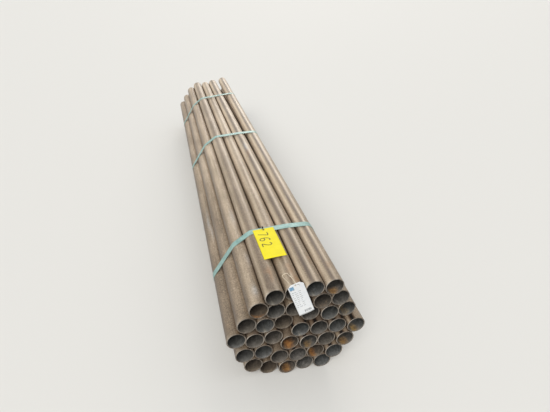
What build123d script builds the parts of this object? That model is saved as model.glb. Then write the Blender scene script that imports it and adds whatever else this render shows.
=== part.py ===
from build123d import *
import os
from math import cos, radians, sin, sqrt, tan

# A strapped bundle of bare round steel pipes, lying along Y on a level floor.
# The near ends face -Y, Z is up, and the undersides of the straps touch the floor at Z = 0.

# Pipe: 2 7/8 inch outside, 5/32 inch wall, cut to 10 feet
pipe_diameter = 73.0
pipe_wall = 3.96
pipe_length = 3048.0
touch_gap = 0.3

# Strap: 1 1/4 inch steel banding, pulled round the whole bundle
strap_width = 32.0
strap_thickness = 0.8
strap_gap = 0.4
strap_tail = 120.0
# Each strap's distance behind the bundle's face, and how many degrees its right side is swung back
straps = {"strap_near": (372.0, 0.0), "strap_middle": (1543.0, 3.6), "strap_far": (2505.0, 14.0)}

# Seal: a sleeve round both layers of the strap, with notches cut through its edges
seal_length = 44.0
seal_wall = 1.2
seal_gap = 0.3
notch_size = 5.0
notch_spacing = 24.0

# Yellow tag, tied to the near strap so that it lies on the top pipes
lot_tag_width = 90.0
lot_tag_length = 203.0
lot_tag_thickness = 0.6
lot_tag_hole = 8.0
lot_tag_margin = 8.0
lot_tag_shift = 45.0
lot_tag_over = 4.5
lot_tag_turn = 1.2

# Tie: a cable tie through the tag's hole and round the strap
tie_width = 3.6
tie_thickness = 1.0
tie_gap = 0.2
tie_head = 6.0
tie_head_height = 4.2

# White tag, hung on a wire in front of one top pipe's mouth
mill_tag_width = 58.8
mill_tag_length = 152.0
mill_tag_thickness = 0.5
mill_tag_clip = 12.0
mill_tag_hole = 5.0
mill_tag_margin = 8.0
mill_tag_turn = 22.8
mill_tag_left = 11.6
mill_tag_above = 22.2
mill_tag_front = 3.0

# Wire: a coated wire through the white tag's hole, bent into an open loop that lies on its pipe
wire_diameter = 2.0
wire_gap = 0.3
wire_sides = 8
wire_arch = 1.1
wire_bend = 4.0
# Its points on the pipe, as (degrees round from the crest, distance behind the bundle's face)
wire_on_pipe = [
    (-28.0, 20.0),
    (-50.0, 76.0),
    (-49.0, 87.0),
    (-31.0, 87.0),
    (-18.0, 81.0),
    (-14.0, 65.0),
    (-7.0, 55.0),
]
# Where its end stops behind the tag, as (across, up from the tag's hole, out of the tag's front)
wire_end = (4.0, 0.0, -6.0)

# Right stack, from the floor up: how far each pipe's near end stands out of the bundle's face
right_rows = [
    [-9.0, 4.0, -3.0, 0.0],
    [3.0, 6.0, 2.0, 15.0],
    [-1.0, 7.0, 5.0, 18.0],
    [0.0, 4.0, 6.0, 16.0],
    [-14.0, -2.0, -12.0],
    [-2.0, -7.0],
    [-1.0, 3.0],
]
# Half pipe steps that each of those rows starts to the right of the lowest row
right_starts = [0, 1, 2, 3, 4, 5, 4]

# Left stack, from the floor up, each row from left to right
left_rows = [
    [1.0],
    [6.0, 0.0],
    [7.0, 1.0, -7.0],
    [1.0, -6.0, -17.0],
    [8.0, -8.0, -11.0],
    [1.0, -17.0],
]
# The left stack leans on the sloping edge of the right one and has slid down along it.
# Its pipes rise towards the left, and the straps have drawn its outer pipes inwards and up.
slide_down = 2.4
inner_rise = 2.0
outer_rise = 15.0
corner_rise = 21.5

# Pipes that were cut longer than the rest, which shows at the far end
extra_lengths = {"pipe_right_7_2": 100.0, "pipe_right_7_1": 30.0, "pipe_left_6_2": 10.0}
# One pipe lies askew: its far end is further right than its near end
askew_pipe = "pipe_right_7_2"
askew_shift = 30.0

pipe_radius = pipe_diameter / 2
step = pipe_diameter + touch_gap
floor_row = strap_thickness + strap_gap + pipe_radius
slope = Vector(cos(radians(60)), sin(radians(60)))
slope_left = Vector(-sin(radians(60)), cos(radians(60)))


def left_of(centre, rise):
    """Centre of a pipe that touches this one on its left, raised by an angle."""
    return centre + Vector(-cos(radians(rise)), sin(radians(rise))) * step


def resting_on(left, right):
    """Centre of a pipe that lies in the hollow over two others."""
    across = right - left
    height = sqrt(step**2 - (across.length / 2) ** 2)
    return (left + right) / 2 + Vector(-across.Y, across.X).normalized() * height


# Pipe centres seen along +Y, as (across, up)
right_stack = []
for row, (start, stand_outs) in enumerate(zip(right_starts, right_rows)):
    row_height = floor_row + row * step * slope.Y
    right_stack.append([Vector((start / 2 + place) * step, row_height) for place in range(len(stand_outs))])
lowest_left = right_stack[0][0] + slope_left * sqrt(step**2 - slide_down**2) - slope * slide_down
inner_pipes = [lowest_left + slope * (row * step) for row in range(5)]
left_stack = [[inner_pipes[0]]]
left_stack.append([left_of(inner_pipes[1], inner_rise), inner_pipes[1]])
for inner, outermost_rise in zip(inner_pipes[2:], [outer_rise, outer_rise, corner_rise]):
    middle = left_of(inner, inner_rise)
    left_stack.append([left_of(middle, outermost_rise), middle, inner])
corner_pipe = resting_on(left_stack[4][0], left_stack[4][1])
leaning_pipe = resting_on(left_stack[4][2], right_stack[6][0])
left_stack.append([corner_pipe, leaning_pipe])

# The askew pipe crosses the one under its right side, touches it halfway along and rises over it
under = right_stack[5][1]
beside_under = under.X - (right_stack[6][1].X + askew_shift / 2)
over_under = sqrt(step**2 - beside_under**2)
askew_rise = askew_shift * beside_under / over_under
right_stack[6][1] = Vector(right_stack[6][1].X, under.Y + over_under - askew_rise / 2)

# Every pipe as name: (near end's centre, far end's shift, stand-out, length)
pipes = {}
for side, stack, rows in (("right", right_stack, right_rows), ("left", left_stack, left_rows)):
    for row, (centres, stand_outs) in enumerate(zip(stack, rows), start=1):
        for place, (centre, stand_out) in enumerate(zip(centres, stand_outs), start=1):
            name = f"pipe_{side}_{row}_{place}"
            shift = Vector(askew_shift, askew_rise) if name == askew_pipe else Vector()
            pipes[name] = (centre, shift, stand_out, pipe_length + extra_lengths.get(name, 0.0))

# The origin is under the middle of the bundle
leftmost = min(centre.X for centre, shift, stand_out, length in pipes.values())
rightmost = max(centre.X for centre, shift, stand_out, length in pipes.values())
bundle_width = rightmost - leftmost + pipe_diameter
mill_tag_outside = mill_tag_front + mill_tag_thickness
nearest = -max([mill_tag_outside] + [stand_out for centre, shift, stand_out, length in pipes.values()])
farthest = max(length - stand_out for centre, shift, stand_out, length in pipes.values())
middle_x = (leftmost + rightmost) / 2
near_face = -(nearest + farthest) / 2


def placed(centre):
    """The pipe centre in the bundle's own frame, seen along +Y."""
    return Vector(centre.X - middle_x, centre.Y)


def crossing(name, distance, swing):
    """Where a strap's plane crosses the centre line of a pipe, as (across, up)."""
    centre, shift, stand_out, length = pipes[name]
    behind = distance + swing * placed(centre).X
    return placed(centre) + shift * ((behind + stand_out) / length)


os.makedirs("parts", exist_ok=True)

for name, (centre, shift, stand_out, length) in pipes.items():
    near_end = Vector(placed(centre).X, near_face - stand_out, centre.Y)
    with BuildPart() as pipe:
        with BuildSketch(Plane(near_end, z_dir=(shift.X, length, shift.Y))):
            Circle(pipe_radius)
            Circle(pipe_radius - pipe_wall, mode=Mode.SUBTRACT)
        extrude(amount=length)
    pipe.part.label = name
    export_step(pipe.part, f"parts/{name}.step")


def outline(points):
    """The outermost of some points, in order round them, without those that lie along an edge."""
    corners = []
    here = min(points, key=lambda point: (point.X, point.Y))
    heading = Vector(0, -1)
    while not corners or (here - corners[0]).length > touch_gap:
        corners.append(here)
        others = [point for point in points if (point - here).length > touch_gap]
        turn = {index: heading.get_signed_angle(point - here) % 360 for index, point in enumerate(others)}
        least = min(turn.values())
        level = [others[index] for index, angle in turn.items() if angle < least + 0.01]
        following = max(level, key=lambda point: (point - here).length)
        heading = following - here
        here = following
    return corners


def along_stretch(start, end, share, distance, swing):
    """A plane in the middle of a strap's thickness, on its straight stretch between two pipes.

    Its X runs along the strap, its Y across the strap and its Z out of the bundle.
    """
    along = (end - start).normalized()
    outward = Vector(-along.Y, along.X)
    point = start + (end - start) * share + outward * (pipe_radius + strap_gap + strap_thickness / 2)
    origin = (point.X, near_face + distance + swing * point.X, point.Y)
    return Plane(origin, x_dir=(along.X, swing * along.X, along.Y), z_dir=(outward.X, 0, outward.Y))


strap_top = strap_thickness / 2
sleeve_bottom = -strap_top - seal_gap
sleeve_inside_height = 2 * strap_thickness + 2 * seal_gap
sleeve_inside_width = strap_width + 2 * seal_gap
notch_places = [
    (end * notch_spacing / 2, side * strap_width / 2) for end in (-1, 1) for side in (-1, 1)
]

for name, (distance, degrees) in straps.items():
    swing = tan(radians(degrees))
    # The strap ends overlap halfway up the upper right flank, over a hollow between two pipes
    seal_above = crossing("pipe_right_7_2", distance, swing)
    seal_below = crossing("pipe_right_4_4", distance, swing)
    seal_plane = along_stretch(seal_above, seal_below, 0.5, distance, swing)
    # The strap runs straight from pipe to pipe, round the outline of all of them
    outer_centres = outline([crossing(pipe_name, distance, swing) for pipe_name in pipes])
    with BuildSketch() as strap_inside:
        with BuildLine():
            Polyline(*outer_centres, close=True)
        make_face()
        offset(amount=pipe_radius + strap_gap, kind=Kind.ARC)
    strap_plane = Plane.XZ.offset(-near_face - distance)
    swung_plane = Plane(strap_plane.origin, x_dir=(1, swing, 0), z_dir=(swing, -1, 0))
    slice_width = strap_width * abs(swung_plane.z_dir.dot(seal_plane.y_dir))
    with BuildPart() as strap:
        with BuildSketch(strap_plane):
            add(strap_inside.sketch)
            offset(amount=strap_thickness, kind=Kind.ARC)
            add(strap_inside.sketch, mode=Mode.SUBTRACT)
        extrude(amount=strap_width + abs(swing) * bundle_width, both=True)
        with BuildSketch(swung_plane):
            Rectangle(2 * bundle_width, 2 * bundle_width)
        extrude(amount=slice_width / 2, both=True, mode=Mode.INTERSECT)
        with BuildSketch(seal_plane.offset(strap_top - strap_thickness)):
            Rectangle(strap_tail, strap_width)
        extrude(amount=2 * strap_thickness)
        with BuildSketch(seal_plane.offset(sleeve_bottom)):
            with Locations(*notch_places):
                Rectangle(notch_size, notch_size, rotation=45)
        extrude(amount=sleeve_inside_height, mode=Mode.SUBTRACT)
    strap.part.label = name
    export_step(strap.part, f"parts/{name}.step")

    with BuildPart() as seal:
        with BuildSketch(seal_plane.offset(sleeve_bottom - seal_wall)):
            Rectangle(seal_length, sleeve_inside_width + 2 * seal_wall)
        extrude(amount=sleeve_inside_height + 2 * seal_wall)
        with BuildSketch(seal_plane.offset(sleeve_bottom)):
            Rectangle(seal_length, sleeve_inside_width)
        extrude(amount=sleeve_inside_height, mode=Mode.SUBTRACT)
        with BuildSketch(seal_plane.offset(sleeve_bottom - seal_wall)):
            with Locations(*notch_places):
                Rectangle(notch_size, notch_size, rotation=45)
        extrude(amount=sleeve_inside_height + 2 * seal_wall, mode=Mode.SUBTRACT)
    seal_name = name.replace("strap", "seal")
    seal.part.label = seal_name
    export_step(seal.part, f"parts/{seal_name}.step")


# Yellow tag: its top edge lies over the near strap, and it is turned a little about its hole
near_distance, near_degrees = straps["strap_near"]
near_swing = tan(radians(near_degrees))
top_left = crossing("pipe_left_6_1", near_distance, near_swing)
top_right = crossing("pipe_right_7_1", near_distance, near_swing)
tag_share = lot_tag_shift / (top_right - top_left).length
tag_plane = along_stretch(top_left, top_right, tag_share, near_distance, near_swing)
lot_tag_bottom = strap_top + tie_thickness + 2 * tie_gap
tie_hole_y = lot_tag_over - lot_tag_margin
with BuildPart() as lot_tag:
    with BuildSketch(tag_plane.offset(lot_tag_bottom)):
        with Locations(Location((0, tie_hole_y), lot_tag_turn)):
            with Locations((0, lot_tag_margin - lot_tag_length / 2)):
                Rectangle(lot_tag_width, lot_tag_length)
            Circle(lot_tag_hole / 2, mode=Mode.SUBTRACT)
    extrude(amount=lot_tag_thickness)
lot_tag.part.label = "lot_tag"
export_step(lot_tag.part, "parts/lot_tag.step")

# Tie: under the strap, back between strap and tag, up through the hole and over the tag's edge
half_tie = tie_gap + tie_thickness / 2
tie_plane = Plane(tag_plane.origin, x_dir=tag_plane.y_dir, z_dir=tag_plane.x_dir)
tie_over = lot_tag_bottom + lot_tag_thickness + half_tie
tie_between = strap_top + half_tie
tie_under = strap_top - strap_thickness - half_tie
tie_near = -strap_width / 2 - half_tie
tie_far = strap_width / 2 + half_tie
with BuildPart() as tag_tie:
    with BuildSketch(tie_plane):
        with BuildLine():
            Polyline(
                (tie_hole_y, tie_over),
                (tie_far, tie_over),
                (tie_far, tie_under),
                (tie_near, tie_under),
                (tie_near, tie_between),
                (tie_hole_y, tie_between),
                close=True,
            )
        trace(line_width=tie_thickness)
    extrude(amount=tie_width / 2, both=True)
    with BuildSketch(tie_plane):
        with Locations((tie_far - tie_head / 2, tie_over + tie_thickness / 2)):
            Rectangle(tie_head, tie_head_height, align=(Align.CENTER, Align.MIN))
    extrude(amount=tie_head / 2, both=True)
tag_tie.part.label = "tag_tie"
export_step(tag_tie.part, "parts/tag_tie.step")

# White tag: it hangs turned in its own plane, in front of the pipe mouths, with its upper corners clipped
hung_pipe = placed(leaning_pipe)
mill_tag_top = hung_pipe.Y + pipe_radius + mill_tag_above
mill_tag_across = (cos(radians(mill_tag_turn)), 0, sin(radians(mill_tag_turn)))
mill_tag_plane = Plane(
    origin=(hung_pipe.X - mill_tag_left, near_face - mill_tag_front, mill_tag_top),
    x_dir=mill_tag_across,
    z_dir=(0, -1, 0),
)
with BuildPart() as mill_tag:
    with BuildSketch(mill_tag_plane) as mill_tag_sheet:
        with Locations((0, -mill_tag_length / 2)):
            Rectangle(mill_tag_width, mill_tag_length)
        chamfer(mill_tag_sheet.vertices().group_by(Axis.Y)[-1], length=mill_tag_clip)
        with Locations((0, -mill_tag_margin)):
            Circle(mill_tag_hole / 2, mode=Mode.SUBTRACT)
    extrude(amount=mill_tag_thickness)
mill_tag.part.label = "mill_tag"
export_step(mill_tag.part, "parts/mill_tag.step")

# Wire: up the tag's front, back through its hole, round a loop on the pipe and back behind the tag
wire_lift = pipe_radius + wire_arch + wire_diameter / 2
wire_clear = wire_gap + wire_diameter / 2
tag_hole = mill_tag_plane.from_local_coords((0, -mill_tag_margin, 0))
hole_plane = Plane(tag_hole, x_dir=mill_tag_plane.x_dir, z_dir=mill_tag_plane.z_dir)
hook_points = [
    (0, -3 * wire_clear, mill_tag_thickness + wire_clear),
    (0, 0, mill_tag_thickness + wire_clear),
    (0, 0, -2 * wire_clear),
]
wire_points = [hole_plane.from_local_coords(point) for point in hook_points]
for turn, behind in wire_on_pipe:
    across = wire_lift * sin(radians(turn))
    up = wire_lift * cos(radians(turn))
    wire_points.append(Vector(hung_pipe.X + across, near_face + behind, hung_pipe.Y + up))
wire_points.append(hole_plane.from_local_coords(wire_end))
hook_bends = [wire_clear] * (len(hook_points) - 1)
later_bends = [wire_bend] * len(wire_on_pipe)
with BuildPart() as tag_wire:
    with BuildLine() as wire_route:
        FilletPolyline(*wire_points, radius=hook_bends + later_bends)
    with BuildSketch(Plane(wire_route.line @ 0, z_dir=wire_route.line % 0)):
        RegularPolygon(wire_diameter / 2, wire_sides)
    sweep()
tag_wire.part.label = "tag_wire"
export_step(tag_wire.part, "parts/tag_wire.step")
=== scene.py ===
import random
from math import atan2, cos, exp, hypot, pi, radians, sin
from types import SimpleNamespace

import bmesh
import bpy
from mathutils import Matrix, Vector


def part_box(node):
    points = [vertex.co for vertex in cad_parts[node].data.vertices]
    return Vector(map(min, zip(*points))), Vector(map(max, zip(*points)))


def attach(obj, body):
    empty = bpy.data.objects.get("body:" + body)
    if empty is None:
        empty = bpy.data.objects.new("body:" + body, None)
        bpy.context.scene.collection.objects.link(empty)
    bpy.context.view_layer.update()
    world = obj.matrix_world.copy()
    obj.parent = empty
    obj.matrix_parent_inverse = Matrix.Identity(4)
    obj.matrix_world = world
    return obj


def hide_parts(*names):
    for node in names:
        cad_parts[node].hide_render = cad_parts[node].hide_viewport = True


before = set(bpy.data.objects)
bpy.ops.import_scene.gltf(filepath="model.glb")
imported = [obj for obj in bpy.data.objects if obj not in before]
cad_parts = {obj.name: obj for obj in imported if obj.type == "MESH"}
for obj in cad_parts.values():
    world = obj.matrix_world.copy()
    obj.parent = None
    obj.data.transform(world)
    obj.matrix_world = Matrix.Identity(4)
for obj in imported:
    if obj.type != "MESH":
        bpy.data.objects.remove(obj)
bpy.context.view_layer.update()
dice = random.Random(37)

# Lengths are in metres, unless a name says otherwise.

# Pipe: welded steel tube, with the bead that welding leaves inside it
pipe_wall = 0.00396
edge_break = 0.0006
bead_height = 0.0009
bead_half_width = 0.0028
sides_round = 72
sharp_turn = radians(35)
pipe_names = sorted(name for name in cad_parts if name.startswith("pipe_"))
# Rings of its points: on the outside from the mouth, close together as far as the marks go,
# and inside from either end
outside_rings = [0.02 * step for step in range(1, 18)]
outside_rings += [0.5 + 0.09 * step for step in range(12)]
outside_rings += [1.8, 2.2, 2.6]
inside_rings = [0.006, 0.014, 0.024, 0.036, 0.05, 0.07, 0.09, 0.13, 0.18, 0.25, 0.35, 0.6, 1.2]

# Yellow tag, on top of the pipes
lot_tag_thickness = 0.0006
lot_tag_hole = 0.008
lot_tag_margin = 0.008
lot_tag_droop = 0.002
lot_tag_bow = 0.0015

# Its nylon tie
tie_width = 0.0036
tie_thickness = 0.001
tie_head = 0.006
tie_tail_length = 0.013
tie_rounding = 0.0004
tie_tail_rounding = 0.0003

# White tag, in front of the mouths
mill_tag_thickness = 0.0005
mill_tag_hole = 0.005
mill_tag_margin = 0.008
mill_tag_clip = 0.012
mill_tag_curl = 0.005
mill_tag_bow = 0.0015

# Both tags: spaces between the lines of their mesh along a side, the least that is left between two,
# and how much larger than the hole the square is that frames it
sheet_spaces = 24
least_space = 0.0015
hole_frame = 1.1
# Ink lies this far over the sheet, and its strokes bend with it at this step
ink_lift = 0.0003
stroke_step = 0.003

# Coated wire of the white tag, bent by hand
wire_diameter = 0.002
wire_gap = 0.0003
wire_arch = 0.0011
wire_kink = 0.0008
wire_kink_step = 0.006
# Its end lies behind the card: so far aside from the hole, and so far behind it
wire_end_beside = 0.004
wire_end_behind = 0.006
# How far behind the bundle's face the mouth lies under the wire
hung_mouth_behind = 0.017

# Camera, in pixels of the photograph: its focal length, and where the pipes' lines meet
photo_width, photo_height = 550, 412
focal_length_px = 415.2
vanishing_x_px, vanishing_y_px = 153.7, -33.8
camera_roll_radians = -0.065
sensor_mm = 36.0
# The camera stands this far from the mouth of the lowest pipe on the left of the right stack
camera_from_mouth = Vector((-0.3387, -1.0719, 1.3462))

# The floor is so wide that its edge lies at the horizon, and the camera sees beyond that
floor_half_width = 300.0
camera_sees_to = 1000.0


def linear(hex_colour):
    """An sRGB hex colour as linear red, green, blue and alpha."""
    parts = [int(hex_colour[at:at + 2], 16) / 255 for at in (1, 3, 5)]
    return [part / 12.92 if part <= 0.04045 else ((part + 0.055) / 1.055) ** 2.4 for part in parts] + [1.0]


def per(size_mm):
    """The scale that makes a pattern's features this many millimetres wide."""
    return 1000.0 / size_mm


def add(tree, kind, inputs=None, ramp=None, **settings):
    """Adds a node, applies its settings and colour stops, and sets or links its inputs."""
    made = tree.nodes.new("ShaderNode" + kind)
    for name, value in settings.items():
        setattr(made, name, value)
    for name, value in (inputs or {}).items():
        if isinstance(value, bpy.types.NodeSocket):
            tree.links.new(value, made.inputs[name])
        else:
            made.inputs[name].default_value = value
    if ramp:
        stops = made.color_ramp.elements
        while len(stops) < len(ramp):
            stops.new(0.5)
        for stop, (position, colour) in zip(stops, ramp):
            stop.position = position
            stop.color = linear(colour)
    return made


def new_material(name):
    """An empty node material, with its tree and its surface shader already joined to the output."""
    material = bpy.data.materials.new(name)
    material.use_nodes = True
    tree = material.node_tree
    tree.nodes.clear()
    shader = add(tree, "BsdfPrincipled")
    add(tree, "OutputMaterial", {"Surface": shader.outputs[0]})
    return material, tree, shader


def weathered_skin():
    """Hot-rolled tube left outdoors: grey mill scale under a thin buff film of rust and dust.

    The scale came off the rolls in streaks, so its patterns are drawn out along the pipe.
    Painted highlights, a painted sheen towards the far end and painted shade are laid into its colour as
    well.
    """
    material, tree, shader = new_material("weathered_mill_scale")
    place = add(tree, "TexCoord").outputs["Object"]
    tone, bare_and_shade_mark, crevice_shade_mark, rust_mark, smear_mark, highlight_mark = (
        add(tree, "Attribute", attribute_name=layer).outputs["Fac"]
        for layer in ("tone", "bare_scale_and_shade", "dust_and_crevice_shade", "rust", "smear_and_seam_highlight", "painted_highlight")
    )
    # Coordinates in which a pattern is drawn out 25 times, or 2.5 times, along the pipe
    drawn_out, half_drawn = (
        add(tree, "VectorMath", {0: place, 1: (1, squeeze, 1)}, operation="MULTIPLY").outputs[0]
        for squeeze in (0.04, 0.4)
    )
    streaks = add(tree, "TexNoise", {"Vector": drawn_out, "Scale": per(14), "Detail": 5, "Roughness": 0.7})
    blotches = add(tree, "TexNoise", {"Vector": half_drawn, "Scale": per(120), "Detail": 5, "Roughness": 0.6})
    # Real scale is pitted at 1 to 2 mm; it is drawn at 6 mm, which is the least that shows from the camera
    speckle = add(tree, "TexNoise", {"Vector": place, "Scale": per(6), "Detail": 3, "Roughness": 0.9})
    shade = 0.0
    for pattern, share in (
        (streaks.outputs["Fac"], 0.25),
        (blotches.outputs["Fac"], 0.25),
        (speckle.outputs["Fac"], 0.50),
        (tone, 0.035),
    ):
        shade = add(tree, "Math", {0: pattern, 1: share, 2: shade}, operation="MULTIPLY_ADD").outputs[0]
    film_stops = [(0.37, "#645545"), (0.46, "#887966"), (0.54, "#a7957f"), (0.63, "#cfbea8")]
    film = add(tree, "ValToRGB", {"Fac": shade}, ramp=film_stops)

    # Dark strips: bare scale, and painted shade on the listed pipes' flanks and on the pipes inside the
    # bundle
    bare_and_shade_sum = add(tree, "Math", {0: bare_and_shade_mark, 1: streaks.outputs["Fac"]}, operation="MULTIPLY")
    bare_and_shade_cover = add(tree, "Math", {0: bare_and_shade_sum.outputs[0], 1: 1.7}, operation="MULTIPLY", use_clamp=True)
    # Painted highlights: pale strips along the top pipes and arcs near the ends, where light would catch them
    highlight_cover = add(tree, "Math", {0: highlight_mark, 1: streaks.outputs["Fac"]}, operation="MULTIPLY")
    clouds = add(tree, "TexNoise", {"Vector": half_drawn, "Scale": per(30), "Detail": 6, "Roughness": 0.7})
    rust_sum = add(tree, "Math", {0: rust_mark, 1: 0.42, 2: clouds.outputs["Fac"]}, operation="MULTIPLY_ADD")
    rust_cover = add(
        tree,
        "MapRange",
        {"Value": rust_sum.outputs[0], "From Min": 0.55, "From Max": 0.95, "To Min": 0.0, "To Max": 0.75},
        interpolation_type="SMOOTHSTEP",
    )
    smear_cover = add(tree, "Math", {0: smear_mark, 1: speckle.outputs["Fac"]}, operation="MULTIPLY")
    # Painted shade in the crevices where pipes touch: rust-brown where it thins out and nearly black where it
    # is thick
    thin_crevice_shade = add(tree, "Math", {0: crevice_shade_mark, 1: 1.25}, operation="MULTIPLY", use_clamp=True)
    thick_crevice_shade = add(tree, "Math", {0: thin_crevice_shade.outputs[0], 1: 1.5}, operation="POWER")
    # Over the film lie bare scale with painted shade, painted highlights, rust, pale smears and the painted
    # shade of the crevices
    colour = film.outputs[0]
    for cover, coat in (
        (bare_and_shade_cover, "#5f5248"),
        (highlight_cover, "#e2d1b8"),
        (rust_cover, "#94704d"),
        (smear_cover, "#d3dadf"),
        (thin_crevice_shade, "#5f4530"),
        (thick_crevice_shade, "#120d0a"),
    ):
        coated = add(tree, "Mix", {0: cover.outputs[0], 6: colour, 7: linear(coat)}, data_type="RGBA")
        colour = coated.outputs[2]
    tree.links.new(colour, shader.inputs["Base Color"])
    # Bare scale shines a little more than the film, and so do the strips of painted shade that share its mask
    dullness = add(
        tree,
        "MapRange",
        {"Value": bare_and_shade_cover.outputs[0], "From Min": 0.0, "From Max": 1.0, "To Min": 0.5, "To Max": 0.4},
    )
    tree.links.new(dullness.outputs[0], shader.inputs["Roughness"])
    relief = add(tree, "Math", {0: speckle.outputs["Fac"], 1: streaks.outputs["Fac"]}, operation="ADD")
    bump = add(tree, "Bump", {"Height": relief.outputs[0], "Strength": 0.3, "Distance": 0.001})
    tree.links.new(bump.outputs[0], shader.inputs["Normal"])
    return material


def bore_scale():
    """Inside of the tube: unbroken mill scale, dark and dull, rusty where water has stood.

    It runs from blue-grey to brown, and its rust from ochre to orange, with each pipe's own warmth.
    Near the ends dust has blown in, and the weld seam carries a painted highlight as a pale patch.
    Deeper in, the scale is painted darker, as painted shade.
    """
    material, tree, shader = new_material("bore_mill_scale")
    place = add(tree, "TexCoord").outputs["Object"]
    tone, warmth, rust_mark, dust_mark, seam_highlight_mark = (
        add(tree, "Attribute", attribute_name=layer).outputs["Fac"]
        for layer in ("tone", "warmth", "rust", "dust_and_crevice_shade", "smear_and_seam_highlight")
    )
    cloud = add(tree, "TexNoise", {"Vector": place, "Scale": per(16), "Detail": 6, "Roughness": 0.8})
    # The tone carries painted shade that darkens the bore deeper in
    toned = add(tree, "Math", {0: tone, 1: 0.06, 2: cloud.outputs["Fac"]}, operation="MULTIPLY_ADD")
    grey_scale = [(0.34, "#212424"), (0.47, "#323736"), (0.57, "#484c50"), (0.70, "#747472")]
    brown_scale = [(0.34, "#231e1a"), (0.47, "#373029"), (0.57, "#4c433a"), (0.70, "#75695e")]
    ochre_rust = [(0.35, "#61502f"), (0.5, "#8a7040"), (0.66, "#ad9561")]
    orange_rust = [(0.35, "#6e4727"), (0.5, "#976334"), (0.66, "#b5834c")]
    hues = []
    for pattern, cold, warm in ((toned, grey_scale, brown_scale), (cloud, ochre_rust, orange_rust)):
        cold_hue, warm_hue = (
            add(tree, "ValToRGB", {"Fac": pattern.outputs[0]}, ramp=stops).outputs[0]
            for stops in (cold, warm)
        )
        hues.append(add(tree, "Mix", {0: warmth, 6: cold_hue, 7: warm_hue}, data_type="RGBA").outputs[2])
    scale_hue, rust_hue = hues
    dust_hue = add(tree, "Mix", {0: warmth, 6: linear("#9b9a97"), 7: linear("#9c8d79")}, data_type="RGBA")

    dust_sum = add(tree, "Math", {0: dust_mark, 1: cloud.outputs["Fac"]}, operation="MULTIPLY")
    dust_cover = add(tree, "Math", {0: dust_sum.outputs[0], 1: 1.15}, operation="MULTIPLY", use_clamp=True)
    rust_sum = add(tree, "Math", {0: rust_mark, 1: 0.8, 2: cloud.outputs["Fac"]}, operation="MULTIPLY_ADD")
    rust_cover = add(
        tree,
        "MapRange",
        {"Value": rust_sum.outputs[0], "From Min": 0.6, "From Max": 1.35, "To Min": 0.0, "To Max": 1.0},
        interpolation_type="SMOOTHSTEP",
    )
    colour = scale_hue
    for cover, coat in (
        (dust_cover.outputs[0], dust_hue.outputs[2]),
        (rust_cover.outputs[0], rust_hue),
        # The weld seam's painted highlight
        (seam_highlight_mark, linear("#c9c1ae")),
    ):
        colour = add(tree, "Mix", {0: cover, 6: colour, 7: coat}, data_type="RGBA").outputs[2]
    tree.links.new(colour, shader.inputs["Base Color"])
    bump = add(tree, "Bump", {"Height": cloud.outputs["Fac"], "Strength": 0.25, "Distance": 0.001})
    tree.links.new(bump.outputs[0], shader.inputs["Normal"])
    shader.inputs["Roughness"].default_value = 0.6
    return material


def sawn_edge():
    """End of the tube, cut by a cold saw and browned since: dark, with pale arcs of painted highlight.

    Saw marks are less than 1 mm apart, and are drawn as 12 mm patches, because the wall is 4 mm.
    """
    material, tree, shader = new_material("sawn_tube_end")
    place = add(tree, "TexCoord").outputs["Object"]
    highlight_mark = add(tree, "Attribute", attribute_name="painted_highlight").outputs["Fac"]
    grain = add(tree, "TexNoise", {"Vector": place, "Scale": per(12), "Detail": 5, "Roughness": 0.8})
    browned_stops = [(0.36, "#332b24"), (0.5, "#5c5248"), (0.64, "#8c8276")]
    browned = add(tree, "ValToRGB", {"Fac": grain.outputs["Fac"]}, ramp=browned_stops)
    # Pale arcs of painted highlight on the cut end
    wear_and_highlight = add(tree, "Mix", {0: highlight_mark, 6: browned.outputs[0], 7: linear("#bdb5aa")}, data_type="RGBA")
    tree.links.new(wear_and_highlight.outputs[2], shader.inputs["Base Color"])
    bump = add(tree, "Bump", {"Height": grain.outputs["Fac"], "Strength": 0.3, "Distance": 0.0005})
    tree.links.new(bump.outputs[0], shader.inputs["Normal"])
    shader.inputs["Roughness"].default_value = 0.6
    return material


def strap_enamel():
    """Cold-rolled steel banding with a thin sea-green enamel: a soft sheen, mottled, scuffed in spots."""
    material, tree, shader = new_material("sea_green_banding_enamel")
    place = add(tree, "TexCoord").outputs["Object"]
    mottle = add(tree, "TexNoise", {"Vector": place, "Scale": per(26), "Detail": 6, "Roughness": 0.7})
    enamel_stops = [(0.30, "#73958e"), (0.45, "#88aca6"), (0.58, "#96b9b3"), (0.72, "#a8c6c1")]
    enamelled = add(tree, "ValToRGB", {"Fac": mottle.outputs["Fac"]}, ramp=enamel_stops)
    scuff = add(tree, "TexNoise", {"Vector": place, "Scale": per(9), "Detail": 5, "Roughness": 0.75})
    scuffed = add(tree, "MapRange", {"Value": scuff.outputs["Fac"], "From Min": 0.66, "From Max": 0.74})
    wear_and_highlight = add(
        tree,
        "Mix",
        {0: scuffed.outputs[0], 6: enamelled.outputs[0], 7: linear("#6f7a74")},
        data_type="RGBA",
    )
    tree.links.new(wear_and_highlight.outputs[2], shader.inputs["Base Color"])
    dullness = add(
        tree,
        "MapRange",
        {"Value": scuffed.outputs[0], "From Min": 0.0, "From Max": 1.0, "To Min": 0.43, "To Max": 0.6},
    )
    tree.links.new(dullness.outputs[0], shader.inputs["Roughness"])
    bump = add(tree, "Bump", {"Height": scuff.outputs["Fac"], "Strength": 0.15, "Distance": 0.0005})
    tree.links.new(bump.outputs[0], shader.inputs["Normal"])
    return material


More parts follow.
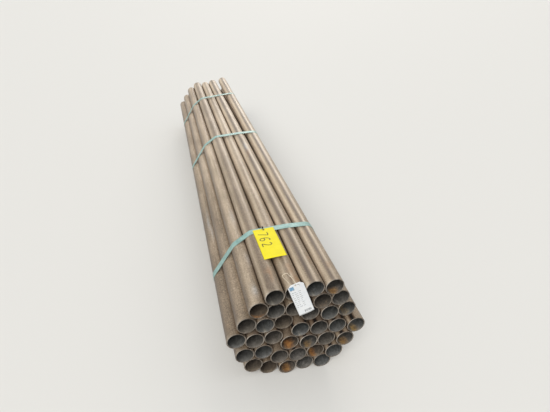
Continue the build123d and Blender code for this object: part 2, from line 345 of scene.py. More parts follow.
def plain_finish(name, colours, size_mm, roughness, metallic=0.0):
    """A finish that mottles slightly between two colours.

    Such finishes really mottle at less than 1 mm, and are drawn as coarse as they need to show.
    """
    material, tree, shader = new_material(name)
    place = add(tree, "TexCoord").outputs["Object"]
    mottle = add(tree, "TexNoise", {"Vector": place, "Scale": per(size_mm), "Detail": 4})
    stops = list(zip((0.35, 0.65), colours))
    colour = add(tree, "ValToRGB", {"Fac": mottle.outputs["Fac"]}, ramp=stops)
    tree.links.new(colour.outputs[0], shader.inputs["Base Color"])
    shader.inputs["Roughness"].default_value = roughness
    shader.inputs["Metallic"].default_value = metallic
    return material


skin = weathered_skin()
bore = bore_scale()
edge = sawn_edge()
enamel = strap_enamel()
# Zinc-plated strip, pressed round the straps: plain grey metal with a dull shine
zinc_greys = ["#8b8f90", "#a8acad"]
seal_steel = plain_finish("zinc_plated_seal_steel", zinc_greys, size_mm=9, roughness=0.42, metallic=1.0)
# Extruded polyethylene: an even, strong yellow, nearly matt
yellow_sheet = plain_finish("yellow_polyethylene_sheet", ["#e7d809", "#eedf11"], size_mm=40, roughness=0.6)
# Coated synthetic card: a clean, cold white with a faint sheen
white_card = plain_finish("white_tag_card", ["#f0f5f9", "#f6f9fb"], size_mm=14, roughness=0.55)
# Moulded nylon: black, with a soft shine along its edges
black_nylon = plain_finish("black_nylon", ["#17181a", "#232427"], size_mm=5, roughness=0.45)
# Marker ink dried on plastic: brown-black where it is thin, and matt
black_marker = plain_finish("black_marker_ink", ["#1d1c14", "#2d2b1c"], size_mm=4, roughness=0.6)
# Printing ink in strokes too fine to see one by one: grey, darker in the bars, and a pale blue block
grey_print = plain_finish("grey_print", ["#8f9496", "#a9adae"], size_mm=3, roughness=0.6)
dark_print = plain_finish("dark_print", ["#5e6163", "#797c7d"], size_mm=3, roughness=0.6)
blue_print = plain_finish("blue_print", ["#6f9fc4", "#93b8d4"], size_mm=5, roughness=0.6)
# Steel wire with a thin coat: a warm cream with a low gloss
wire_coat = plain_finish("cream_wire_coat", ["#dccfb4", "#eadfca"], size_mm=6, roughness=0.5)

# Marks on a pipe's wall: degrees round from the crest to the right, distance from the mouth,
# half width round the pipe, half length, strength
skin_rust = {
    "pipe_left_6_1": [(10, 0.10, 0.018, 0.07, 0.5)],
    "pipe_left_6_2": [(8, 0.10, 0.020, 0.05, 0.7), (25, 0.03, 0.020, 0.03, 0.7)],
    "pipe_right_7_1": [
        (25, 0.14, 0.012, 0.04, 0.6),
        (-20, 1.22, 0.010, 0.03, 0.9),
        (-10, 1.06, 0.008, 0.02, 0.7),
    ],
    "pipe_right_7_2": [(5, 0.09, 0.018, 0.04, 0.7)],
}
skin_smears = {
    "pipe_left_3_1": [
        (-25, 0.75, 0.008, 0.05, 0.6),
        (-10, 0.66, 0.007, 0.03, 0.6),
        (-20, 0.89, 0.008, 0.03, 0.5),
    ],
    "pipe_left_5_1": [
        (-2, 0.07, 0.012, 0.024, 0.55),
        (20, 0.26, 0.010, 0.045, 0.4),
        (2, 0.57, 0.014, 0.05, 0.4),
    ],
    "pipe_right_7_1": [(-12, 1.30, 0.010, 0.03, 0.6)],
}
bore_rust = {
    "pipe_left_5_1": [(180, 0.005, 0.040, 0.012, 0.65)],
    "pipe_right_1_2": [(176, 0.018, 0.026, 0.030, 0.9)],
    "pipe_right_2_3": [(190, 0.022, 0.020, 0.035, 0.85)],
    "pipe_right_3_1": [(175, 0.022, 0.026, 0.034, 0.9)],
    "pipe_right_3_2": [(180, 0.013, 0.024, 0.024, 0.75)],
    "pipe_right_3_4": [(178, 0.014, 0.026, 0.026, 0.85)],
    "pipe_right_4_4": [(180, 0.013, 0.022, 0.024, 0.9)],
    "pipe_right_5_3": [(182, 0.025, 0.026, 0.04, 0.55)],
    "pipe_right_6_1": [(170, 0.010, 0.030, 0.02, 0.3)],
    "pipe_right_7_2": [(180, 0.014, 0.026, 0.024, 0.85)],
}
# Strips of painted shade along a pipe: on the left flanks of the left stack, and beside the painted
# highlights on the pipes on top; other pipes get a random strip where the dark scale shows through. Degrees
# from the crest, half width in degrees, strength
painted_shade_strips = {
    "pipe_left_2_1": (-88, 50, 0.9),
    "pipe_left_3_1": (-88, 38, 0.9),
    "pipe_left_4_1": (-80, 34, 0.8),
    "pipe_left_5_1": (-88, 32, 0.8),
    "pipe_left_6_1": (-24, 16, 0.6),
    "pipe_left_6_2": (-20, 13, 0.4),
    "pipe_right_7_1": (-22, 15, 1.0),
    "pipe_right_7_2": (-17, 15, 1.0),
}
# Strips of painted highlight on the pipes that lie on top, each given as the strips of painted shade are
painted_highlight_strips = {
    "pipe_left_5_1": [(-28, 14, 0.5)],
    "pipe_left_6_1": [(-60, 14, 0.6), (12, 9, 0.5)],
    "pipe_left_6_2": [(-40, 14, 0.8), (1, 7, 0.8)],
    "pipe_right_7_1": [(-60, 15, 1.3), (3, 8, 0.9)],
    "pipe_right_7_2": [(-48, 13, 1.1), (3, 8, 0.9)],
}
# How brown the scale inside a pipe is, from 0 for blue-grey to 1 for red-brown
warmths = {
    "pipe_left_1_1": 0.9,
    "pipe_left_3_1": 0.1,
    "pipe_left_4_1": 0.6,
    "pipe_left_4_2": 0.1,
    "pipe_left_4_3": 0.9,
    "pipe_left_5_1": 1.0,
    "pipe_left_6_1": 0.35,
    "pipe_right_1_1": 1.0,
    "pipe_right_1_2": 0.6,
    "pipe_right_2_2": 0.4,
    "pipe_right_2_3": 0.9,
    "pipe_right_3_1": 0.9,
    "pipe_right_3_2": 0.3,
    "pipe_right_3_4": 0.35,
    "pipe_right_4_1": 0.0,
    "pipe_right_4_2": 0.35,
    "pipe_right_4_3": 0.1,
    "pipe_right_4_4": 0.1,
    "pipe_right_5_2": 0.1,
    "pipe_right_6_1": 0.7,
    "pipe_right_6_2": 0.4,
    "pipe_right_7_1": 0.05,
    "pipe_right_7_2": 0.45,
}
# How much paler, or darker if negative, a pipe is than the rest; the pipes of the left stack are darker also
# as painted shade
tones = {
    "pipe_left_2_1": -1.0,
    "pipe_left_3_1": -1.3,
    "pipe_left_4_1": -0.4,
    "pipe_left_5_1": -0.8,
    "pipe_left_6_1": -1.1,
    "pipe_right_1_1": -1.0,
    "pipe_right_2_2": 0.8,
    "pipe_right_3_2": -0.8,
    "pipe_right_4_1": -0.4,
    "pipe_right_4_3": -0.5,
    "pipe_right_5_2": -0.5,
    "pipe_right_6_1": -1.0,
    "pipe_right_7_1": -0.1,
}
# Pipes whose weld seam shows at the bottom of the mouth with a painted highlight: degrees from the crest, and
# how bright the painted highlight is
seam_places = {"pipe_left_4_2": 175, "pipe_left_6_1": 188, "pipe_right_4_1": 178, "pipe_right_7_1": 183}
seam_highlight = 0.6
seam_half_degrees = 9
seam_reach = 0.008

# Painted shade darkens the crevice where two pipes touch: how far round from there, and how wide a gap it
# still fills
crevice_shade_turn = radians(17)
crevice_shade_gap = 0.006
# Pipes inside the bundle are painted this much darker, as painted shade between the others
inner_shade = 0.8
# How many pipes lie beside one that is still in the open, and beside one that is wholly inside
open_beside, inner_beside = 4, 6
# They lie beside each other when their centres are less than this many diameters apart
beside_diameters = 1.3
# Pale dust blown into the mouths lies on the bottom, this far in
dust_reach = 0.020
# The ends, where rain gets at the saw cut, are browner; inside the bundle they are darker still, as painted
# shade
end_browning = 1.0
inner_end_shade = 1.6
browning_reach = 0.12
# Away from the tagged end the film is painted paler, as a painted sheen, from here on and over this length
far_sheen = 1.9
far_sheen_start = 0.25
far_sheen_run = 1.1
# The scale inside is painted darker this far in, as painted shade
deep_shade = 1.5
deep_shade_reach = 0.04
# Painted highlights pale the ends in two arcs on their flanks: degrees, half width, strength
painted_highlight_arcs = [(-62, 42, 1.0), (95, 30, 0.6)]
end_rub_reach = 0.009
end_highlight_outside = 0.7


def end_centre(name, far):
    """Centre of a pipe's near or far end, from its solid's corners there."""
    points = [vertex.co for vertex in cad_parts[name].data.vertices]
    middle = sum(point.y for point in points) / len(points)
    points = [point for point in points if (point.y > middle) == far]
    spans = [(min(point[k] for point in points), max(point[k] for point in points)) for k in range(3)]
    return Vector([(low + high) / 2 for low, high in spans])


pipe_ends = {name: (end_centre(name, False), end_centre(name, True)) for name in pipe_names}
first_low, first_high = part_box("pipe_right_1_1")
pipe_radius = (first_high.x - first_low.x) / 2
bore_radius = pipe_radius - pipe_wall
bead_turn = bead_half_width / bore_radius


def turned(turn, other):
    """How far one angle is from another, the short way round."""
    return (turn - other + pi) % (2 * pi) - pi


def centre_at(name, y):
    """Where a pipe's centre line is at a distance along Y."""
    near, far = pipe_ends[name]
    return near.lerp(far, (y - near.y) / (far.y - near.y))


def hump_at(turn, degrees, half_degrees):
    """A smooth hump, 1 at a number of degrees round from the crest."""
    return exp(-((turned(turn, radians(degrees)) / radians(half_degrees)) ** 2))


def marks_at(marks, turn, from_mouth):
    """How strong a pipe's marks are together at a place on its wall."""
    total = 0.0
    for degrees, distance, half_width, half_length, strength in marks:
        across = turned(turn, radians(degrees)) * pipe_radius / half_width
        total += strength * exp(-across**2 - ((from_mouth - distance) / half_length) ** 2)
    return min(total, 1.0)


def pipe_look(name):
    """How a pipe has weathered, and where light and shade are painted on it, by its own entries above or else
    at random.

    Each draw is made for every pipe, so that an entry for one pipe doesn't change the others.
    """
    beside = [
        other
        for other in pipe_names
        if other != name
        and (centre_at(other, 0) - centre_at(name, 0)).length < beside_diameters * 2 * pipe_radius
    ]
    inside = (len(beside) - open_beside) / (inner_beside - open_beside)
    look = SimpleNamespace(name=name, beside=beside, recess_shade=min(max(inside, 0.0), 1.0) * inner_shade)
    look.seam = radians(seam_places.get(name, dice.uniform(100, 260)))
    look.tone = tones.get(name, dice.uniform(-0.8, 0.8))
    drawn_strip = (dice.uniform(-180, 180), dice.uniform(10, 25), dice.uniform(0.0, 0.5))
    look.strip = painted_shade_strips.get(name, drawn_strip)
    look.warmth = warmths.get(name, 0.7 * dice.random())
    look.end_rub = dice.uniform(0.3, 1.0)
    return look


def end_highlight_at(look, turn, from_end):
    """How strong the painted highlight is at a place near a pipe's end."""
    arcs = sum(strength * hump_at(turn, degrees, half) for degrees, half, strength in painted_highlight_arcs)
    return look.end_rub * arcs * exp(-from_end / end_rub_reach)


def outside_layers(look, turn, along, from_end, touching):
    """Strength of each layer of wear, dirt, painted highlight, painted sheen and painted shade at a place on
    a pipe's outside.
    """
    strip_middle, strip_half, strip_strength = look.strip
    strip = strip_strength * hump_at(turn, strip_middle, strip_half)
    own_highlights = painted_highlight_strips.get(look.name, [])
    # Painted highlights along the pipes on top
    painted_highlight = sum(strength * hump_at(turn, degrees, half) for degrees, half, strength in own_highlights)
    # Browning near the ends, with painted shade added for pipes inside the bundle
    browning_and_end_shade = (end_browning + inner_end_shade * look.recess_shade) * exp(-from_end / browning_reach)
    # A painted sheen, paler towards the far end
    painted_sheen = far_sheen * min(max((along - far_sheen_start) / far_sheen_run, 0.0), 1.0)
    return {
        "rust": marks_at(skin_rust.get(look.name, []), turn, along),
        "smear_and_seam_highlight": marks_at(skin_smears.get(look.name, []), turn, along),
        # Bare scale, painted shade strips, and painted shade on pipes inside the bundle
        "bare_scale_and_shade": max(strip, look.recess_shade),
        "painted_highlight": painted_highlight + end_highlight_outside * end_highlight_at(look, turn, from_end),
        # Painted shade in the crevices where the pipes beside it touch
        "dust_and_crevice_shade": max(reach * exp(-((turned(turn, at) / crevice_shade_turn) ** 2)) for at, reach in touching),
        "tone": look.tone + painted_sheen - browning_and_end_shade,
        "warmth": look.warmth,
    }


def inside_layers(look, turn, along, from_end):
    """The same inside a pipe, where the dirt is dust on the bottom, the smear is a painted highlight on the
    weld seam, and painted shade darkens the tone deeper in.
    """
    seam = 0.0
    # A painted highlight on the weld seam near the mouth
    if look.name in seam_places:
        seam = seam_highlight * hump_at(turn, seam_places[look.name], seam_half_degrees)
    return {
        "rust": marks_at(bore_rust.get(look.name, []), turn, along),
        "smear_and_seam_highlight": seam * exp(-from_end / seam_reach),
        "bare_scale_and_shade": 0.0,
        "painted_highlight": end_highlight_at(look, turn, from_end),
        "dust_and_crevice_shade": (0.5 - 0.5 * cos(turn)) ** 2 * exp(-from_end / dust_reach),
        # Painted shade, darker deeper in the bore
        "tone": look.tone - deep_shade * (1 - exp(-from_end / deep_shade_reach)),
        "warmth": look.warmth,
    }


def tube_turns(seam):
    """Angles round a tube at which it has points: even, but closer together over the weld bead."""
    turns = [2 * pi * side / sides_round for side in range(sides_round)]
    turns = [turn for turn in turns if abs(turned(turn, seam)) > 1.2 * bead_turn]
    turns += [(seam + share * bead_turn) % (2 * pi) for share in (-1, -0.55, 0, 0.55, 1)]
    return sorted(turns)


def tube_rings(length):
    """A tube's rings, each its place along the pipe, its radius and whether it is on the outside."""
    outer = [edge_break] + outside_rings + [length - edge_break]
    inner = [length - edge_break] + [length - deep for deep in inside_rings]
    inner += sorted(inside_rings, reverse=True) + [edge_break]
    rings = [(along, pipe_radius, True) for along in outer]
    rings += [(length, pipe_radius - edge_break, True), (length, bore_radius + edge_break, False)]
    rings += [(along, bore_radius, False) for along in inner]
    rings += [(0.0, bore_radius + edge_break, False), (0.0, pipe_radius - edge_break, True)]
    return rings


def tube_finish(radius, next_radius):
    """Which of its materials a band between two rings has: 0 the skin, 1 the bore, 2 the sawn end."""
    if radius == next_radius == pipe_radius:
        return 0
    if radius == next_radius == bore_radius:
        return 1
    return 2


def show(name, data, node=None):
    """Puts a piece into the scene, on the bundle's body, and in place of a node."""
    piece = bpy.data.objects.new(name, data)
    bpy.context.scene.collection.objects.link(piece)
    if node:
        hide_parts(node)
    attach(piece, "root")
    return piece


def make_pipe(name):
    """A tube with broken edges and a weld bead inside, in place of a pipe of the frame."""
    near, far = pipe_ends[name]
    run = (far - near).normalized()
    across = (Vector((1, 0, 0)) - run * run.x).normalized()
    up = across.cross(run)
    length = (far - near).length
    look = pipe_look(name)
    turns, rings = tube_turns(look.seam), tube_rings(length)
    points = []
    layers = {label: [] for label in ("rust", "smear_and_seam_highlight", "bare_scale_and_shade", "painted_highlight", "dust_and_crevice_shade", "tone", "warmth")}
    for along, radius, outside in rings:
        middle = near + run * along
        from_end = min(along, length - along)
        # Where the pipes beside it touch it, as an angle and how much painted shade their crevice gets
        touching = []
        for other in look.beside:
            apart = centre_at(other, middle.y) - middle
            gap = max(hypot(apart.x, apart.z) - 2 * pipe_radius, 0.0)
            touching.append((atan2(apart.x, apart.z), exp(-gap / crevice_shade_gap)))
        for turn in turns:
            bead = cos(min(abs(turned(turn, look.seam)) / bead_turn, 1.0) * pi / 2)
            here = radius if outside else radius - bead_height * bead
            points.append(middle + across * (here * sin(turn)) + up * (here * cos(turn)))
            if outside:
                strengths = outside_layers(look, turn, along, from_end, touching)
            else:
                strengths = inside_layers(look, turn, along, from_end)
            for label, strength in strengths.items():
                layers[label].append(strength)
    count = len(turns)
    radii = [radius for _, radius, _ in rings]
    faces, finishes = [], []
    for ring, radius in enumerate(radii):
        following = (ring + 1) % len(radii)
        first, second = ring * count, following * count
        for side in range(count):
            beside = (side + 1) % count
            faces.append([first + side, second + side, second + beside, first + beside])
            finishes.append(tube_finish(radius, radii[following]))
    mesh = bpy.data.meshes.new(name + "_tube")
    mesh.from_pydata(points, [], faces)
    mesh.polygons.foreach_set("material_index", finishes)
    mesh.polygons.foreach_set("use_smooth", [True] * len(faces))
    for label, values in layers.items():
        mesh.attributes.new(label, "FLOAT", "POINT").data.foreach_set("value", values)
    for material in (skin, bore, edge):
        mesh.materials.append(material)
    mesh.set_sharp_from_angle(angle=sharp_turn)
    show(name + "_tube", mesh, name)


def finish_node(name, material, rounding=0.0):
    """Gives a node of the frame its finish, and rounds its edges."""
    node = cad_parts[name]
    node.data.materials.clear()
    node.data.materials.append(material)
    if rounding:
        bevel = node.modifiers.new("rounded_edges", "BEVEL")
        bevel.width = rounding
        bevel.segments = 2


def sheet_frame(name, across_key, up_key):
    """A thin tag's foot left corner on its outer face, its directions across, up and out, and its size.

    The keys pick its foot left corner, as the least, and its foot right corner, as the greatest.
    """
    points = [vertex.co.copy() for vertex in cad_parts[name].data.vertices]
    foot_left = min(points, key=up_key)
    foot_right = max(points, key=across_key)
    across = (foot_right - foot_left).normalized()
    centre = sum(points, Vector()) / len(points)
    beside = centre - foot_left
    up = (beside - across * beside.dot(across)).normalized()
    out = across.cross(up)
    outer = max(point.dot(out) for point in points)
    corner = foot_left + out * (outer - foot_left.dot(out))
    length = max((point - corner).dot(up) for point in points)
    return corner, across, up, out, (foot_right - foot_left).length, length


def sheet_lines(size, hole_at, ring):
    """Places of a tag's mesh lines along one side: evenly spaced, with five that frame its hole."""
    kept = [hole_at + ring * share for share in (-1, -0.5, 0, 0.5, 1)] + [0.0, size]
    filling = [size * step / sheet_spaces for step in range(1, sheet_spaces)]
    kept += [line for line in filling if min(abs(line - other) for other in kept) > least_space]
    return sorted(kept)


def bent_sheet(name, sheet, rise, hole, margin, clip, thickness, material):
    """A tag as a thin bent sheet with a round hole and clipped upper corners.

    Returns the rule that bends it, for the ink.
    """
    corner, across, up, out, width, length = sheet
    ring = hole_frame * hole
    hole_u, hole_v = width / 2, length - margin
    us, vs = sheet_lines(width, hole_u, ring), sheet_lines(length, hole_v, ring)

    def place(u, v, lift=0.0):
        """Where a point of the flat tag comes to lie, at a height over its face."""
        return corner + across * u + up * v + out * (rise(u / width, v / length) + lift)

    build = bmesh.new()
    grid = {}
    for row, v in enumerate(vs):
        cut = max(0.0, v - (length - clip)) if clip else 0.0
        for column, u in enumerate(us):
            # Beside a clipped corner the lines draw in towards the middle
            if u < width / 2 and u < clip:
                u = cut + u * (clip - cut) / clip
            elif width - u < clip:
                u = width - cut - (width - u) * (clip - cut) / clip
            grid[row, column] = build.verts.new(place(u, v))
    left, right = us.index(hole_u - ring), us.index(hole_u + ring)
    foot, top = vs.index(hole_v - ring), vs.index(hole_v + ring)
    for row in range(len(vs) - 1):
        for column in range(len(us) - 1):
            if foot <= row < top and left <= column < right:
                continue
            corners = [(row, column), (row, column + 1), (row + 1, column + 1), (row + 1, column)]
            build.faces.new([grid[at] for at in corners])
    # The square that was left open is closed down to the round hole
    around = [(foot, column) for column in range(left, right)]
    around += [(row, right) for row in range(foot, top)]
    around += [(top, column) for column in range(right, left, -1)]
    around += [(row, left) for row in range(top, foot, -1)]
    rim = []
    for row, column in around:
        turn = atan2(vs[row] - hole_v, us[column] - hole_u)
        rim.append(build.verts.new(place(hole_u + cos(turn) * hole / 2, hole_v + sin(turn) * hole / 2)))
    for at in range(len(around)):
        following = (at + 1) % len(around)
        build.faces.new([grid[around[at]], grid[around[following]], rim[following], rim[at]])
    # Where the clip brings lines together at a corner, their points become one
    bmesh.ops.remove_doubles(build, verts=build.verts, dist=0.0001)
    mesh = bpy.data.meshes.new(name + "_sheet")
    build.to_mesh(mesh)
    build.free()
    mesh.polygons.foreach_set("use_smooth", [True] * len(mesh.polygons))
    mesh.materials.append(material)
    piece = show(name + "_sheet", mesh, name)
    solid = piece.modifiers.new("thickness", "SOLIDIFY")
    solid.thickness = thickness
    solid.offset = -1.0
    return place


def strokes_on(name, lines, width, place, material):
    """Lines of ink on a sheet, as ribbons that follow its bend. A line is a list of (u, v)."""
    points, faces = [], []
    for line in lines:
        fine = []
        for (u1, v1), (u2, v2) in zip(line, line[1:]):
            steps = max(1, round(hypot(u2 - u1, v2 - v1) / stroke_step))
            for step in range(steps):
                fine.append((u1 + (u2 - u1) * step / steps, v1 + (v2 - v1) * step / steps))
        fine.append(line[-1])
        start = len(points)
        for at, (u, v) in enumerate(fine):
            before, after = fine[max(at - 1, 0)], fine[min(at + 1, len(fine) - 1)]
            along = Vector((after[0] - before[0], after[1] - before[1])).normalized()
            for side in (-0.5, 0.5):
                points.append(place(u - along.y * width * side, v + along.x * width * side, ink_lift))
        for at in range(len(fine) - 1):
            first = start + 2 * at
            faces.append([first, first + 1, first + 3, first + 2])
    mesh = bpy.data.meshes.new(name)
    mesh.from_pydata(points, [], faces)
    mesh.materials.append(material)
    show(name, mesh)


def smooth(line, rounds=3):
    """A line of points with its corners cut, so that it reads as a curve."""
    for _ in range(rounds):
        cut = [line[0]]
        for (u1, v1), (u2, v2) in zip(line, line[1:]):
            for share in (0.25, 0.75):
                cut.append(((1 - share) * u1 + share * u2, (1 - share) * v1 + share * v2))
        line = cut + [line[-1]]
    return line


def lot_tag():
    """Yellow polyethylene tag with a number in black marker."""
    sheet = sheet_frame("lot_tag", lambda point: point.x - point.y, lambda point: point.x + point.y)
    length = sheet[-1]

    def rise(u, v):
        """The foot droops, its left corner more, and the sheet bows a little over the pipes."""
        return lot_tag_bow * sin(pi * u) * (1 - v) - lot_tag_droop * (1 - v) ** 3 * (1.2 - 0.5 * u)

    place = bent_sheet(
        "lot_tag",
        sheet,
        rise,
        hole=lot_tag_hole,
        margin=lot_tag_margin,
        clip=0.0,
        thickness=lot_tag_thickness,
        material=yellow_sheet,
    )
    # A lot number written down the tag: each sign in its own square, from its left foot
    signs = [
        [(0.0, 0.95), (0.9, 1.0), (0.55, 0.5), (0.3, 0.0)],
        [(0.85, 0.9), (0.45, 1.0), (0.05, 0.6), (0.1, 0.1)]
        + [(0.5, -0.05), (0.85, 0.2), (0.6, 0.5), (0.1, 0.4)],
        [(0.1, 0.8), (0.45, 1.0), (0.8, 0.75), (0.6, 0.4), (0.05, 0.0), (0.95, 0.05)],
    ]
    sign_tall, sign_wide, sign_step = 0.042, 0.026, 0.036
    text_foot, text_start = 0.014, 0.030
    marker_width = 0.0036
    lines = []
    for number, sign in enumerate(signs):
        from_top = text_start + number * sign_step
        curve = smooth(sign)
        lines.append([(text_foot + y * sign_tall, length - from_top - x * sign_wide) for x, y in curve])
    strokes_on("lot_number", lines, marker_width, place, black_marker)


def mill_tag():
    """White printed card on a wire: a pale blue block, rows of faint print and a bar strip, none legible."""
    sheet = sheet_frame("mill_tag", lambda point: point.x, lambda point: point.z)
    width, length = sheet[-2:]

    def rise(u, v):
        """The foot curls out and the card bows about its length."""
        return mill_tag_curl * (1 - v) ** 2 + mill_tag_bow * sin(pi * u)

    place = bent_sheet(
        "mill_tag",
        sheet,
        rise,
        hole=mill_tag_hole,
        margin=mill_tag_margin,
        clip=mill_tag_clip,
        thickness=mill_tag_thickness,
        material=white_card,
    )
    # A solid block is four rows of ink that meet
    block_left, block_right, block_top, block_step = 0.004, 0.020, 0.011, 0.004
    block = []
    for row in range(4):
        v = length - block_top - block_step * row
        block.append([(block_left, v), (block_right, v)])
    strokes_on("blue_block", block, 0.0041, place, blue_print)
    # Each small mark's left end, its distance down from the top and its length
    small_marks = [
        (0.006, 0.0255, 0.003),
        (0.016, 0.0255, 0.003),
        (0.037, 0.008, 0.004),
        (0.042, 0.013, 0.003),
    ]
    marks = [[(start, length - down), (start + run, length - down)] for start, down, run in small_marks]
    strokes_on("small_marks", marks, 0.0025, place, dark_print)
    print_top, print_step = 0.038, 0.009
    print_columns = (0.005, 0.016, 0.030)
    rows = []
    for row in range(9):
        v = length - print_top - print_step * row
        for column in print_columns:
            rows.append([(column, v), (column + dice.uniform(0.003, 0.010), v)])
    strokes_on("print_rows", rows, 0.0017, place, grey_print)
    bar_left, bar_right, bar_foot, bar_top = 0.026, 0.052, 0.010, 0.020
    bars = []
    u = bar_left
    while u < bar_right:
        bars.append([(u, bar_foot), (u, bar_top)])
        u += dice.uniform(0.0022, 0.0042)
    strokes_on("bar_strip", bars, 0.0014, place, dark_print)
    return place(width / 2, length - mill_tag_margin), sheet


def kinked(points, step, size):
    """The same line with points at about even steps, each moved aside a little, but not its ends."""
    made = [points[0]]
    for start, end in zip(points, points[1:]):
        count = max(1, round((end - start).length / step))
        for at in range(1, count + 1):
            aside = Vector([dice.uniform(-size, size), dice.uniform(-size, size), dice.uniform(0, size)])
            made.append(start.lerp(end, at / count) + aside)
    made[-1] = points[-1]
    return made


def tag_wire(hole, sheet):
    """Coated wire: up the card's front, back through its hole, round a loop on the pipe and back."""
    across, up, out = sheet[1:4]
    wire_clear = wire_gap + wire_diameter / 2
    near = pipe_ends["pipe_left_6_2"][0]
    face = near.y - hung_mouth_behind
    lift = pipe_radius + wire_arch + wire_diameter / 2
    points = [
        hole - up * (3 * wire_clear) + out * wire_clear,
        hole + out * wire_clear,
        hole - out * (mill_tag_thickness + 2 * wire_clear),
    ]
    # The wire's points on the pipe: degrees round from the crest, and distance behind the bundle's face
    on_pipe = [(-28, 0.020), (-50, 0.076), (-49, 0.087), (-31, 0.087)]
    on_pipe += [(-18, 0.081), (-14, 0.065), (-7, 0.055)]
    for degrees, behind in on_pipe:
        turn = radians(degrees)
        points.append(Vector((near.x + lift * sin(turn), face + behind, near.z + lift * cos(turn))))
    points.append(hole + across * wire_end_beside - out * wire_end_behind)
    # It was bent by hand, so its run up from the card and over the pipe is wavy
    points = kinked(points, wire_kink_step, wire_kink)
    curve = bpy.data.curves.new("tag_wire_loop", "CURVE")
    curve.dimensions = "3D"
    curve.bevel_depth = wire_diameter / 2
    curve.bevel_resolution = 3
    curve.resolution_u = 6
    curve.use_fill_caps = True
    spline = curve.splines.new("NURBS")
    spline.points.add(len(points) - 1)
    for made, point in zip(spline.points, points):
        made.co = (*point, 1.0)
    spline.order_u = 3
    spline.use_endpoint_u = True
    curve.materials.append(wire_coat)
    show("tag_wire_loop", curve, "tag_wire")


def tie_tail():
    """Cut end of the nylon tie, that curls aside from its head."""
    tail_drop, tail_aside, tail_hump, tail_twist = 0.002, 0.006, 0.0012, 0.35
    low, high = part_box("tag_tie")
    start = Vector(((low.x + high.x) / 2, high.y - tie_head / 2, high.z - tail_drop))
    steps = 10
    points, faces = [], []
    for step in range(steps + 1):
        share = step / steps
        curl = Vector((-tie_tail_length * share, -tail_aside * share**2, tail_hump * sin(pi * share)))
        middle = start + curl
        side = Vector((tail_twist * share, -1, 0)).normalized() * tie_width / 2
        up = Vector((0, 0, tie_thickness / 2))
        points += [middle - side - up, middle + side - up, middle + side + up, middle - side + up]
    for step in range(steps):
        first = 4 * step
        for corner in range(4):
            beside = (corner + 1) % 4
            faces.append([first + corner, first + beside, first + 4 + beside, first + 4 + corner])
    last = 4 * steps
    faces += [[0, 3, 2, 1], [last, last + 1, last + 2, last + 3]]
    mesh = bpy.data.meshes.new("tie_tail")
    mesh.from_pydata(points, [], faces)
    mesh.materials.append(black_nylon)
    piece = show("tie_tail", mesh)
    bevel = piece.modifiers.new("rounded_edges", "BEVEL")
    bevel.width = tie_tail_rounding


def soft_lamp(name, strength, degrees_across, towards, colour):
    """A lamp so far off that it only has a direction, and as broad as the bright part of a cloudy sky."""
    lamp = bpy.data.lights.new(name, "SUN")
    lamp.energy = strength
    lamp.angle = radians(degrees_across)
    lamp.color = linear(colour)[:3]
    placed = bpy.data.objects.new(name, lamp)
    placed.rotation_mode = "QUATERNION"
    placed.rotation_quaternion = Vector(towards).to_track_quat("Z", "Y")
    bpy.context.scene.collection.objects.link(placed)


def pale_sky():
    """A soft sky that dims towards the horizon, and shows as an even pale backdrop."""
    world = bpy.data.worlds.new("pale_sky")
    bpy.context.scene.world = world
    world.use_nodes = True
    tree = world.node_tree
    tree.nodes.clear()
    seen = add(tree, "LightPath")
    height = add(tree, "SeparateXYZ", {0: add(tree, "TexCoord").outputs["Generated"]})
    strength = add(tree, "MapRange", {"Value": height.outputs["Z"], "To Min": 0.1, "To Max": 0.8})
    sky = add(tree, "Background", {"Color": linear("#eef1f4"), "Strength": strength.outputs[0]})
    backdrop = add(tree, "Background", {"Color": linear("#eeeeec"), "Strength": 1.0})
    shown = seen.outputs["Is Camera Ray"]
    for ray in ("Is Glossy Ray", "Is Transmission Ray"):
        shown = add(tree, "Math", {0: shown, 1: seen.outputs[ray]}, operation="MAXIMUM").outputs[0]
    mixed = add(tree, "MixShader", {0: shown, 1: sky.outputs[0], 2: backdrop.outputs[0]})
    add(tree, "OutputWorld", {"Surface": mixed.outputs[0]})


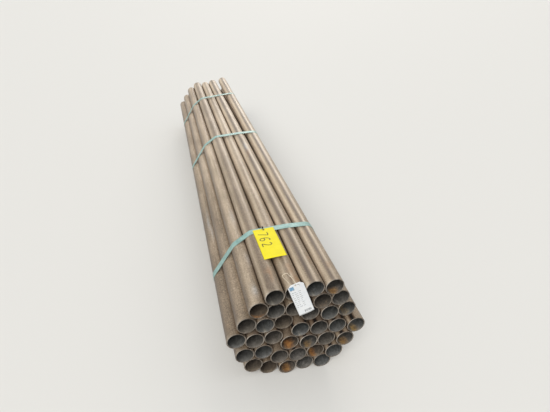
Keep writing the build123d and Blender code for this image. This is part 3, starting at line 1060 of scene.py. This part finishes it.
def pale_floor():
    """A matt floor, pale to look at, that throws little light back up, so that undersides stay dark."""
    material, tree, shader = new_material("pale_floor")
    bounced = add(tree, "LightPath").outputs["Is Diffuse Ray"]
    colour = add(tree, "Mix", {0: bounced, 6: linear("#dddcd8"), 7: linear("#6e6a62")}, data_type="RGBA")
    tree.links.new(colour.outputs[2], shader.inputs["Base Color"])
    shader.inputs["Roughness"].default_value = 0.9
    half = floor_half_width
    mesh = bpy.data.meshes.new("floor")
    corners = [(-half, -half, 0), (half, -half, 0), (half, half, 0), (-half, half, 0)]
    mesh.from_pydata(corners, [], [(0, 1, 2, 3)])
    mesh.materials.append(material)
    floor = bpy.data.objects.new("floor", mesh)
    bpy.context.scene.collection.objects.link(floor)


def place_camera():
    """The photograph's view: its pipes run along +Y to their vanishing point."""
    mouth = pipe_ends["pipe_right_1_1"][0]
    # The pipes' direction and the world's up and across, as the camera sees them
    to_vanishing = (vanishing_x_px - photo_width / 2, photo_height / 2 - vanishing_y_px, focal_length_px)
    pipes_run = Vector(to_vanishing).normalized()
    tilted = Vector((sin(camera_roll_radians), cos(camera_roll_radians), 0))
    world_up = (tilted - pipes_run * tilted.dot(pipes_run)).normalized()
    world_across = world_up.cross(pipes_run)
    right, up, ahead = (Vector((world_across[k], pipes_run[k], world_up[k])) for k in range(3))
    camera = bpy.data.cameras.new("camera")
    camera.sensor_width = sensor_mm
    camera.lens = sensor_mm * focal_length_px / photo_width
    camera.clip_end = camera_sees_to
    body = bpy.data.objects.new("camera", camera)
    turn = Matrix((right, up, -ahead)).transposed().to_4x4()
    body.matrix_world = Matrix.Translation(mouth + camera_from_mouth) @ turn
    bpy.context.scene.collection.objects.link(body)
    bpy.context.scene.camera = body


for pipe_name in pipe_names:
    make_pipe(pipe_name)
for strap_name in ("strap_near", "strap_middle", "strap_far"):
    finish_node(strap_name, enamel)
    finish_node(strap_name.replace("strap", "seal"), seal_steel)
finish_node("tag_tie", black_nylon, tie_rounding)
lot_tag()
tag_wire(*mill_tag())
tie_tail()

pale_sky()
soft_lamp("key", strength=2.7, degrees_across=40, towards=(-0.42, -0.8, 0.74), colour="#fffcf8")
soft_lamp("rim", strength=0.7, degrees_across=26, towards=(0.26, 1.0, 0.38), colour="#fff8f0")
pale_floor()
place_camera()
bpy.context.scene.view_settings.view_transform = "Standard"
